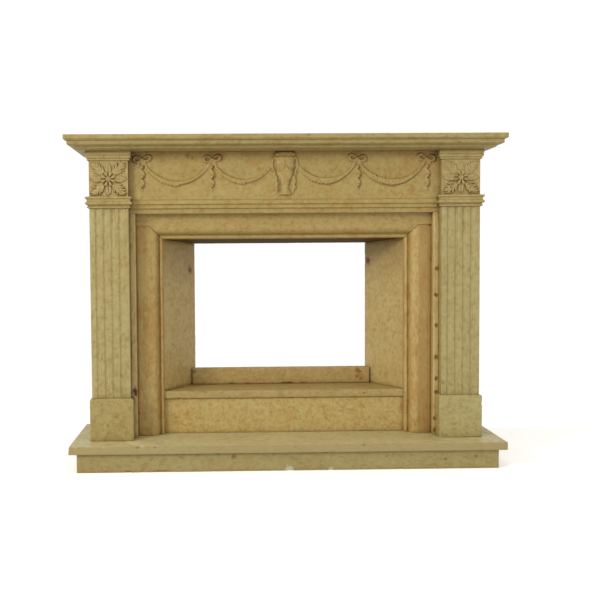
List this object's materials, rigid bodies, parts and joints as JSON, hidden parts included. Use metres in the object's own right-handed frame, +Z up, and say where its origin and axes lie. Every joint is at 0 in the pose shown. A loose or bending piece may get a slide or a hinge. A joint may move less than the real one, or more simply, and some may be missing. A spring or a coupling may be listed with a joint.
{
  "type": "fireplace mantel",
  "caption": "Carved marble fireplace mantel with fluted pilasters, rosette blocks, a frieze of swags, bows and an urn, a moulded shelf, splayed firebox jambs and a raised hearth.",
  "frame": {"origin": "middle of the whole mantel's footprint, at the underside of the base block on the floor", "axes": "+X to the right along the shelf seen from the front, +Y to the back towards the chimney breast, +Z up; the carved front faces -Y"},
  "size_m": [1.8, 0.51, 1.366],
  "materials": {
    "pale_marble": "satin",
    "warm_marble": "satin",
    "inner_marble": "satin",
    "base_marble": "satin"
  },
  "bodies": {
    "root": {"hearth_base": "base_marble", "hearth_slab": "pale_marble", "left_pilaster_plinth": "pale_marble", "right_pilaster_plinth": "pale_marble", "left_pilaster_shaft": "pale_marble", "right_pilaster_shaft": "pale_marble", "left_rosette_block": "pale_marble", "right_rosette_block": "pale_marble", "carved_frieze": "warm_marble", "mantel_shelf": "pale_marble", "left_side_strip": "pale_marble", "right_side_strip": "pale_marble", "insert_header": "warm_marble", "insert_left_leg": "warm_marble", "insert_right_leg": "warm_marble", "left_firebox_jamb": "inner_marble", "right_firebox_jamb": "inner_marble", "firebox_lintel": "inner_marble", "inner_hearth_riser": "warm_marble", "inner_hearth_top": "inner_marble", "inner_hearth_kerb": "inner_marble"}
  },
  "joints": []
}
